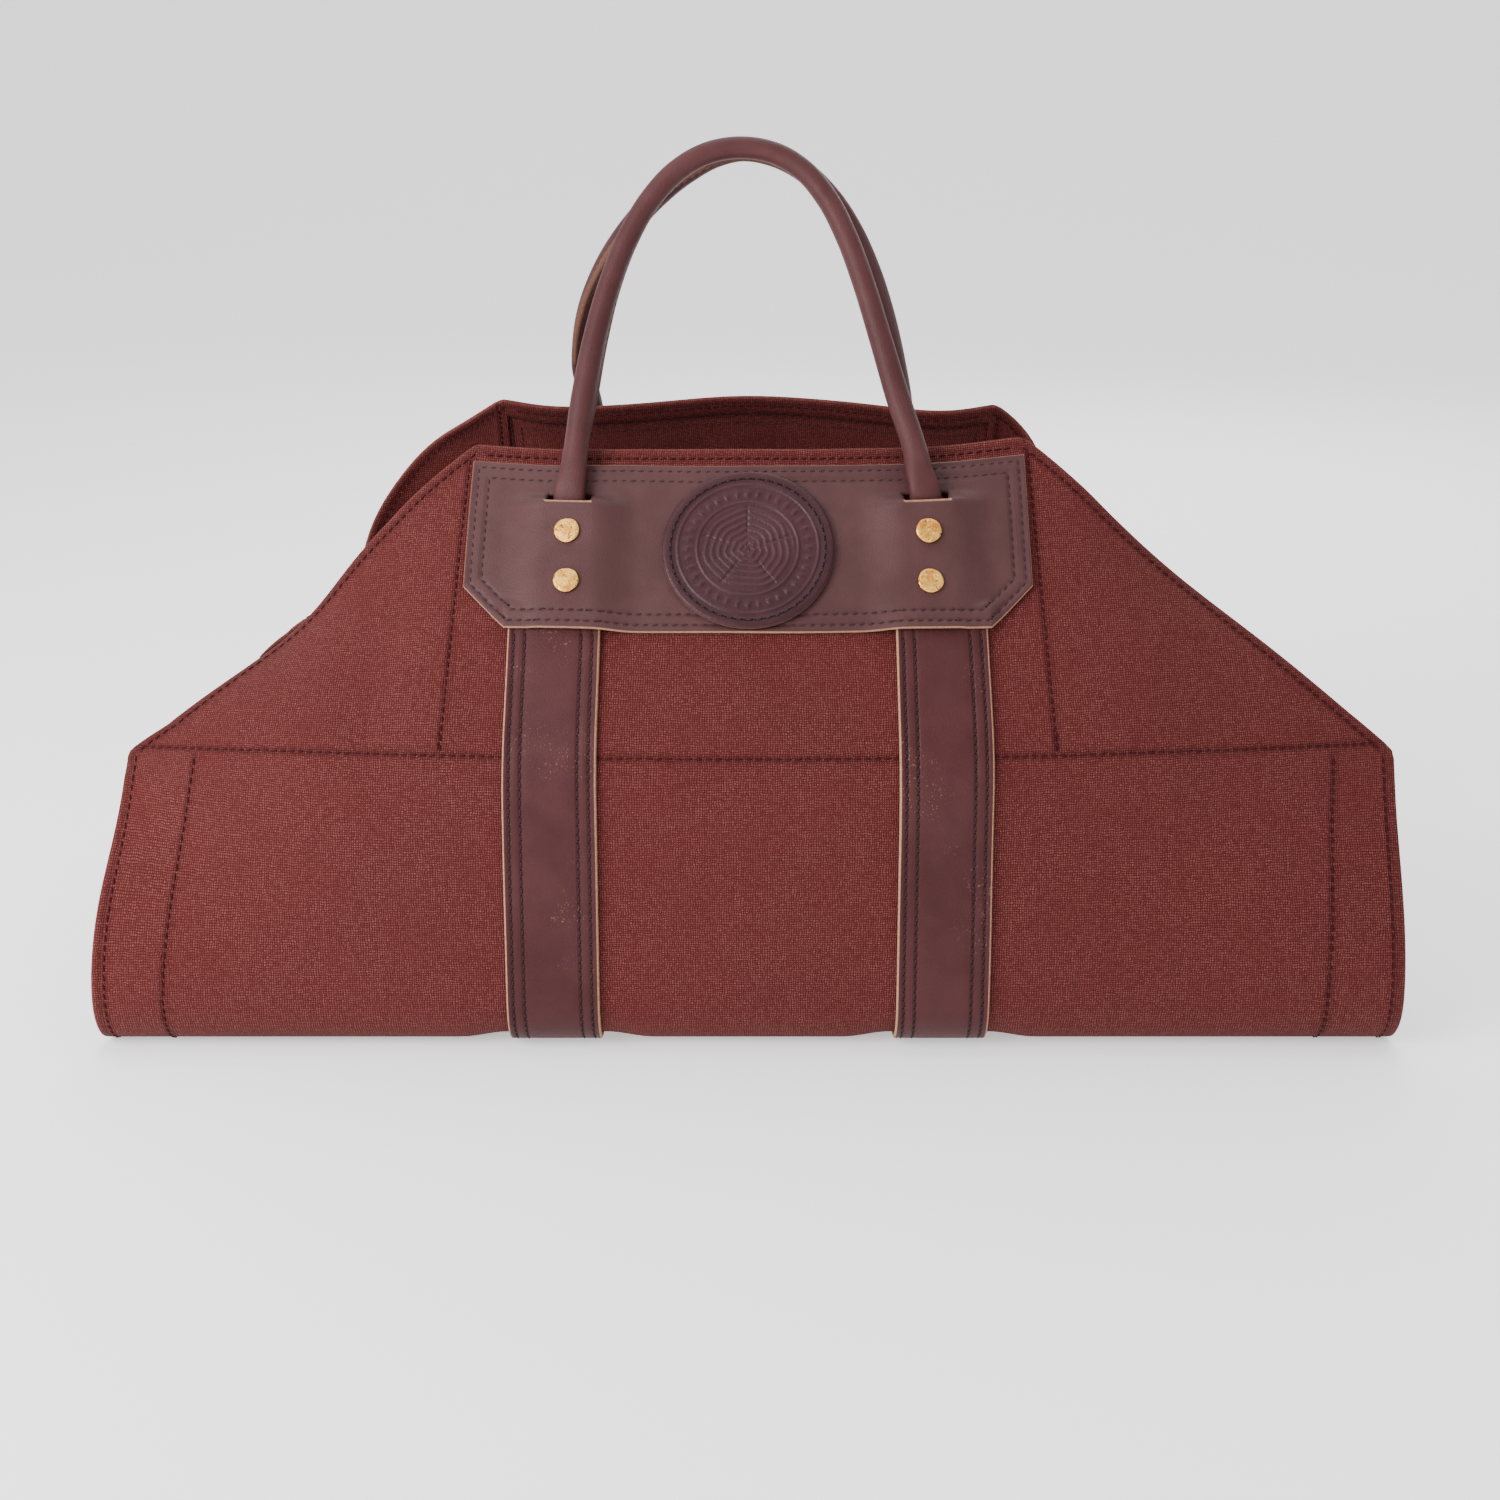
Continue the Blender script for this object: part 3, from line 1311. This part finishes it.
    def surface(self) -> tuple[Surface, Surface]:
        """The handle and the thread of its fin.

        A ring is an ellipse, squared where it is flat, with a narrow fin that
        rises from it as a steep bell does.

        Returns:
            The handle's surface and its stitches.
        """
        at = self.stations()
        centre, out = at["centre"], at["out"]
        wide, thick, fin, lean = (at[k][:, :1] for k in ("wide", "thick", "fin", "lean"))
        ahead = unit(np.gradient(centre, axis=0))
        across = unit(np.cross(ahead, out))
        out = np.cross(across, ahead)
        toward = np.radians(lean) - math.pi / 2
        k = np.linspace(-1.0, 1.0, self.sides, endpoint=False)[None, :]
        turn = math.pi * np.sign(k) * np.abs(k) ** 1.7
        angle = toward + turn
        c, s = np.cos(angle), np.sin(angle)
        square = 1 + 0.35 * np.minimum(1.0, wide / thick - 1) * np.abs(c * s)
        side = self.fin_thickness / 2
        off = np.sin(np.abs(turn)) * thick / 2
        facing = np.cos(turn) > 0
        ridge = np.where(facing, 1 - ease((off - side * 0.8) / 1.2), 0.0)
        x = wide / 2 * c * square + fin * ridge * np.cos(toward)
        y = thick / 2 * s * square + fin * ridge * np.sin(toward)
        rings = centre[:, None] + x[..., None] * across[:, None] + y[..., None] * out[:, None]
        tip = ridge * (fin / self.fin)
        place = np.linspace(0, 1, self.steps)[:, None] * self.flat_length + 0 * k
        uv = np.stack([turn * thick / 2 + 0 * place, place], -1)
        rim = ease((tip - 0.8) / 0.15)
        cut = np.zeros_like(rim)
        cut[:2], cut[-2:] = 1.0, 1.0
        values = {"rim": np.maximum(rim, cut), "row": np.zeros_like(rim)}
        body = tube(rings, values, uv)
        keep = np.flatnonzero(at["fin"][:, 0] > self.fin * 0.9)
        rows = []
        for sign in (-1, 1):
            point_x = thick / 2 * np.cos(toward) + fin * 0.45 * np.cos(toward)
            point_y = thick / 2 * np.sin(toward) + fin * 0.45 * np.sin(toward)
            side_x, side_y = -np.sin(toward) * sign, np.cos(toward) * sign
            path = (centre + (point_x + side_x * side) * across
                    + (point_y + side_y * side) * out)
            facing_out = side_x * across + side_y * out
            rows.append(HANDLE_THREAD.row(path[keep], facing_out[keep], 300 + sign))
        return body, joined(rows)

    def build(self, finish: bpy.types.Material, thread: bpy.types.Material) -> None:
        """Makes the handle and its thread."""
        side = self.plate.panel.name.lower()
        body, sewn = self.surface()
        dressed(body, f"rolled_handle_{side}", finish, "handle_leather", f"handle_{side}")
        dressed(sewn, f"handle_stitches_{side}", thread, "handle_leather")


@dataclass
class Strap:
    """A leather strap from under one plate, below the bottom, to under the other."""

    drape: Drape
    plate: HandlePlate
    end: End
    rows_in: tuple[float, float] = (3.5, 8.9)
    edge_radius: float = 0.8
    press: float = 0.25

    @property
    def reach(self) -> float:
        """Distance along from the middle of the bottom to either end."""
        return self.drape.length - (self.plate.bottom - self.plate.tuck)

    def surface(self) -> Surface:
        """The strap: a grid with its stitch rows pressed in."""
        d = self.drape
        half = d.strap_width / 2
        right = spread([(0.0, 0), (half - 10.2, 4), (half - 7.6, 3), (half - 4.8, 2),
                        (half - 2.2, 3), (half - 1.3, 1), (half - 0.8, 1), (half - 0.4, 1),
                        (half - 0.12, 1), (half, 1)])
        across = np.concatenate([-right[:0:-1], right])
        along = spread([(-self.reach, 0), (-self.reach + 0.3, 1), (-self.reach + 1.0, 1),
                        (self.reach - 1.0, 250), (self.reach - 0.3, 1), (self.reach, 1)])
        line, v = np.meshgrid(across, along)
        u = self.end.value * d.strap_centre + line
        edge = np.minimum(half - np.abs(line), self.reach - np.abs(v))
        full = rounding(edge, self.edge_radius)
        row = sum(bell((half - np.abs(line) - inset) / 0.9) for inset in self.rows_in)
        outer = d.on(u, v, d.seat + d.leather / 2 * (1 + full) - self.press * row)
        inner = d.on(u, v, d.seat + d.leather / 2 * (1 - full))
        rim = 1 - ease((edge - 0.5) / 0.8)
        values = {"rim": np.stack([rim, np.ones_like(rim)]), "row": np.stack([row, 0 * row])}
        return slab(outer, inner, np.stack([line, v], -1), values)

    def stitches(self) -> Surface:
        """Four rows of thread on the strap, and on the cloth behind it."""
        d = self.drape
        made = []
        half = d.strap_width / 2
        reach = self.reach - self.plate.tuck - 1.0
        along = np.linspace(-reach, reach, 420)
        for k, inset in enumerate(self.rows_in):
            for sign in (-1, 1):
                line = sign * (half - inset)
                u = np.full(420, self.end.value * d.strap_centre + line)
                out = d.normal(u, along)
                seed = 400 + 20 * k + 5 * sign + self.end.value
                path = d.on(u, along, d.seat + d.leather - THREAD_SINK + 0 * u)
                made.append(STRAP_THREAD.row(path, out, seed))
                made.append(CANVAS_THREAD.row(d.on(u, along, -CANVAS_LAYER + 0 * u), -out, seed + 1))
        return joined(made)

    def build(self, finish: bpy.types.Material, thread: bpy.types.Material) -> None:
        """Makes the strap and its thread."""
        side = self.end.name.lower()
        dressed(self.surface(), f"leather_strap_{side}", finish, "strap_leather",
                f"strap_{side}")
        dressed(self.stitches(), f"strap_stitches_{side}", thread, "strap_leather")


@dataclass
class Badge:
    """A round patch with a stitched rim and pressed growth rings."""

    drape: Drape
    plate: HandlePlate
    diameter: float = 84.5
    thickness: float = 2.6
    inset: float = 47.0
    stitch_radius: float = 38.0
    stitch_count: int = 50

    def place(self, radius: Array, angle: Array, height: Array) -> Array:
        """Places on the patch, by distance from its centre and angle."""
        down = self.plate.top + self.inset - radius * np.sin(angle)
        above = self.drape.leather + self.drape.seat + height
        return self.plate.face(radius * np.cos(angle), down, above)

    def relief(self, r: Array, angle: Array) -> Array:
        """How far the face stands up: a pressed border, rings and radial checks."""
        high = 0.35 * bell((r - 40.0) / 2.0) - 0.3 * bell((r - self.stitch_radius) / 0.9)
        for ring in (34.6, 25.0):
            high += 0.55 * bell((r - ring) / 0.55)
        dots = np.cos(angle * 36)
        high += 0.5 * ease((dots - 0.2) / 0.5) * bell((r - 29.8) / 1.8)
        wobble = r + 0.5 * np.sin(3 * angle + 1.0) + 0.35 * np.sin(7 * angle)
        core = ease((23.5 - r) / 1.0)
        high += core * 0.4 * (0.5 + 0.5 * np.cos(2 * math.pi * wobble / 3.4)) ** 2
        check = np.abs((angle * 5 / (2 * math.pi) + 0.25) % 1.0 - 0.5) * 2 * math.pi / 5 * r
        high -= core * 0.5 * bell(check / 0.5) * ease((r - 6.0) / 6.0)
        return high

    def surface(self) -> Surface:
        """The patch: rings of points over the top, round the edge and under."""
        radius = self.diameter / 2
        sides = 240
        angle = 2 * math.pi * np.arange(sides) / sides
        top = spread([(0.4, 0), (24.0, 48), (36.0, 30), (radius - 1.2, 9), (radius - 0.5, 1),
                      (radius - 0.15, 1), (radius, 1)])
        r, a = np.meshgrid(top, angle, indexing="ij")
        full = rounding(radius - r, 1.0)
        upper = self.place(r, a, self.thickness / 2 * (1 + full) + self.relief(r, a) * full)
        low_r, low_a = np.meshgrid(top[::-12], angle, indexing="ij")
        low_full = rounding(radius - low_r, 1.0)
        lower = self.place(low_r, low_a, self.thickness / 2 * (1 - low_full))
        rings = np.concatenate([upper, lower[1:]])
        rim = np.concatenate([1 - ease((radius - r) / 1.0), 0 * low_r[1:]]) * 0.5
        row = np.concatenate([bell((r - self.stitch_radius) / 1.2), 0 * low_r[1:]])
        flat = np.concatenate([r, low_r[1:]])
        around = np.concatenate([a, low_a[1:]])
        uv = np.stack([flat * np.cos(around), flat * np.sin(around)], -1)
        return tube(rings, {"rim": rim, "row": row}, uv)

    def stitches(self) -> Surface:
        """One ring of thick stitches near the edge."""
        angle = np.linspace(0, 2 * math.pi, 361)
        r = np.full(361, self.stitch_radius)
        path = self.place(r, angle, self.thickness - 0.1 + 0 * r)
        above = self.place(r, angle, self.thickness + 1.0 + 0 * r)
        pitch = 2 * math.pi * self.stitch_radius / self.stitch_count
        thread = Stitching(pitch, 3.3, 0.9, 0.5, 0.05, 0.8)
        return thread.row(path, unit(above - path), 500, True)

    def build(self, finish: bpy.types.Material, thread: bpy.types.Material) -> None:
        """Makes the patch and its thread."""
        dressed(self.surface(), "badge_patch", finish, "badge_leather", "round_badge")
        dressed(self.stitches(), "badge_stitches", thread, "badge_leather")


@dataclass
class Rivets:
    """The hammered rivets on a plate, with a burr on each inside."""

    drape: Drape
    plate: HandlePlate
    head: float = 12.6
    head_height: float = 1.4
    shank: float = 4.2
    burr: float = 10.0
    burr_height: float = 1.2
    insets: dict[str, float] = field(default_factory=lambda: {"upper": 40.0, "lower": 66.0})

    def turned(self, centre: Array, out: Array, profile: list[tuple[float, float]],
               seed: int, hammer: float) -> Surface:
        """A round piece from a profile turned about an axis, a little uneven.

        Args:
            centre: The foot of the axis.
            out: The axis.
            profile: Pairs of a radius and a height.
            seed: Picks the hammer marks.
            hammer: Depth of the marks.

        Returns:
            The closed surface.
        """
        sides = 40
        radius, high = (np.array(c)[:, None] for c in zip(*profile))
        angle = (2 * math.pi * np.arange(sides) / sides)[None, :]
        across = unit(np.cross(out, np.array([0.0, 0.31, 0.95])))
        up = np.cross(out, across)
        random = np.random.default_rng(seed)
        x, y = radius * np.cos(angle), radius * np.sin(angle)
        marks = 0 * x
        for cx, cy, depth in random.uniform(-1, 1, (9, 3)) * (self.head * 0.45, self.head * 0.45,
                                                              hammer):
            marks += depth * bell(np.hypot(x - cx, y - cy) / 1.9)
        swell = 1 + 0.012 * np.sin(3 * angle + seed) + 0.01 * np.sin(5 * angle)
        level = high + marks * (high > high.max() * 0.6)
        rings = (centre + (x * swell)[..., None] * across + (y * swell)[..., None] * up
                 + level[..., None] * out)
        return tube(rings[:, ::-1], {}, np.stack([x, y], -1))

    def build(self, finish: bpy.types.Material) -> None:
        """Makes each rivet's head, shank and burr as one piece."""
        plate, d = self.plate, self.drape
        side = plate.panel.name.lower()
        r, h = self.head / 2, self.head_height
        cap = [(0.3, 0.0), (r - 0.3, 0.0), (r, 0.35), (r, h * 0.6), (r - 0.25, h * 0.88),
               (r - 0.8, h), (r * 0.7, h * 1.04), (r * 0.5, h * 1.06), (r * 0.3, h * 1.06),
               (0.3, h * 1.06)]
        b, t = self.burr / 2, self.burr_height
        foot = [(0.3, -t - 0.8), (self.shank / 2, -t - 0.7), (self.shank / 2 + 0.3, -t),
                (b - 0.3, -t), (b, -t + 0.3), (b, -0.2), (b - 0.3, 0.0), (self.shank / 2, 0.0),
                (self.shank / 2, 12.0), (0.3, 12.0)]
        for end in End:
            for k, (level, inset) in enumerate(self.insets.items()):
                u = np.array([end.value * plate.handle_centre])
                down = np.array([plate.top + inset])
                reach = self.head / 2 + 1.0
                high = plate.face(u, down - reach, d.leather + d.seat + 0 * u)[0]
                low = plate.face(u, down + reach, d.leather + d.seat + 0 * u)[0]
                ahead = unit(low - high)
                out = d.normal(u, plate.panel.value * (d.length - down))[0]
                tilted = unit(out - ahead * np.dot(out, ahead))
                seed = 600 + 10 * end.value + k + 3 * plate.panel.value
                head = self.turned((high + low) / 2, tilted, cap, seed, 0.28)
                inside = d.on(u, plate.panel.value * (d.length - down),
                              np.array([-CANVAS_LAYER - d.seat]))[0]
                burr = self.turned(inside, out, [(x, min(y, 9.0)) for x, y in foot], seed, 0.0)
                name = f"{side}_{end.name.lower()}_{level}"
                dressed(joined([head, burr]), f"brass_{name}", finish, "rivet_brass",
                        f"rivet_{name}")


# Name, side in metres, power in watts and place of each light
LIGHTS = (
    ("key", 0.9, 36.0, (-1.1, -1.0, 0.85)),
    ("fill", 1.6, 1.5, (1.5, -1.3, 0.9)),
    ("top", 1.8, 22.0, (0.0, 0.3, 1.9)),
    ("rim", 1.0, 12.0, (0.6, 1.6, 1.2)),
)


@dataclass
class Studio:
    """The pale floor, the soft lights and the camera."""

    distance: float = 1.1
    elevation: float = 13.7
    aim: float = 0.195
    focal_pixels: float = 2012.0
    image: float = 1500.0
    centre: tuple[float, float] = (748.0, 583.0)
    paper_back: float = 2.5
    paper_bend: float = 2.0
    paper_glow: float = 0.6

    def camera(self) -> None:
        """The camera at the angle of the photograph, with a small shift."""
        data = bpy.data.cameras.new("camera")
        data.sensor_width = 36.0
        data.lens = self.focal_pixels / self.image * data.sensor_width
        data.shift_x = (self.image / 2 - self.centre[0]) / self.image
        data.shift_y = (self.centre[1] - self.image / 2) / self.image
        data.clip_start = 0.05
        made = bpy.data.objects.new("camera", data)
        tilt = math.radians(self.elevation)
        made.location = (0.0, -self.distance * math.cos(tilt),
                         self.aim + self.distance * math.sin(tilt))
        made.rotation_euler = (math.pi / 2 - tilt, 0.0, 0.0)
        bpy.context.scene.collection.objects.link(made)
        bpy.context.scene.camera = made

    def light(self, name: str, size: float, power: float, place: tuple, aim: tuple) -> None:
        """A square soft light that faces a point.

        Args:
            name: Its name.
            size: Its side in metres.
            power: Its power in watts.
            place: Where it is.
            aim: What it faces.
        """
        data = bpy.data.lights.new(name, "AREA")
        data.size = size
        data.energy = power
        made = bpy.data.objects.new(name, data)
        made.location = place
        away = np.array(place, float) - np.array(aim, float)
        flat = math.hypot(away[0], away[1])
        turn = math.atan2(away[0], -away[1])
        made.rotation_euler = (math.atan2(flat, away[2]), 0.0, turn)
        bpy.context.scene.collection.objects.link(made)

    def floor(self) -> None:
        """A wide sheet of pale paper on the floor, which curves up far behind."""
        turn = np.linspace(0.0, math.pi / 2, 25)
        back = self.paper_back + self.paper_bend * np.sin(turn)
        rise = self.paper_bend * (1.0 - np.cos(turn))
        y = np.concatenate([[-6.0], back, back[-1:]])
        z = np.concatenate([[0.0], rise, [7.0]])
        side = np.array([-8.0, 8.0])
        points = np.stack([side[:, None] + 0 * y, y + 0 * side[:, None],
                           z + 0 * side[:, None]], -1) / MM
        index = np.arange(2 * len(y)).reshape(2, -1)
        faces = np.stack([index[0, :-1], index[1, :-1], index[1, 1:], index[0, 1:]], -1)
        made = Surface(points.reshape(-1, 3), [faces]).mesh("floor")
        g = Graph("floor_paper")
        made.data.materials.append(g.finish((0.9, 0.9, 0.9), 0.9, None,
                                            Emission_Strength=self.paper_glow))

    def build(self) -> None:
        """Sets up the whole studio."""
        self.camera()
        self.floor()
        for name, size, power, place in LIGHTS:
            self.light(name, size, power, place, (0.0, 0.0, 0.15))
        world = bpy.data.worlds.new("studio")
        world.use_nodes = True
        sky = world.node_tree.nodes["Background"]
        sky.inputs["Color"].default_value = (1.0, 1.0, 1.0, 1.0)
        sky.inputs["Strength"].default_value = 0.8
        bpy.context.scene.world = world


def main() -> None:
    """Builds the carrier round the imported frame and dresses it."""
    logging.basicConfig(level=logging.INFO, format="%(message)s")
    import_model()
    Studio().build()
    drape = Drape()
    plate_hide = Hide("plate_hide", (0.064, 0.0235, 0.0245), (0.08, 0.032, 0.033),
                      (0.044, 0.0145, 0.0155), roughness=0.5, gloss=0.2)
    strap_hide = Hide("strap_hide", (0.055, 0.0145, 0.016), (0.071, 0.022, 0.0235),
                      (0.036, 0.0085, 0.0095), roughness=0.52, scuffed=0.3, gloss=0.13)
    handle_hide = Hide("handle_hide", (0.064, 0.0195, 0.0205), (0.08, 0.027, 0.028),
                       (0.04, 0.0105, 0.0115), raw=(0.13, 0.06, 0.04), roughness=0.5, gloss=0.17)
    badge_hide = Hide("badge_hide", (0.036, 0.0078, 0.0115), (0.048, 0.0125, 0.0165),
                      (0.02, 0.004, 0.006), roughness=0.42, gloss=0.25)
    thread = Thread("leather_thread", (0.05, 0.021, 0.024), (0.003, 0.0015, 0.0015)).material()
    plate_finish, strap_finish = plate_hide.material(), strap_hide.material()
    handle_finish, metal = handle_hide.material(), Brass().material()
    CanvasSheet(drape).build()
    plates = {panel: HandlePlate(drape, panel) for panel in Panel}
    for plate in plates.values():
        plate.build(plate_finish, thread)
        RolledHandle(drape, plate).build(handle_finish, thread)
        Rivets(drape, plate).build(metal)
    for end in End:
        Strap(drape, plates[Panel.FRONT], end).build(strap_finish, thread)
    Badge(drape, plates[Panel.FRONT]).build(badge_hide.material(), thread)


if __name__ == "__main__":
    main()
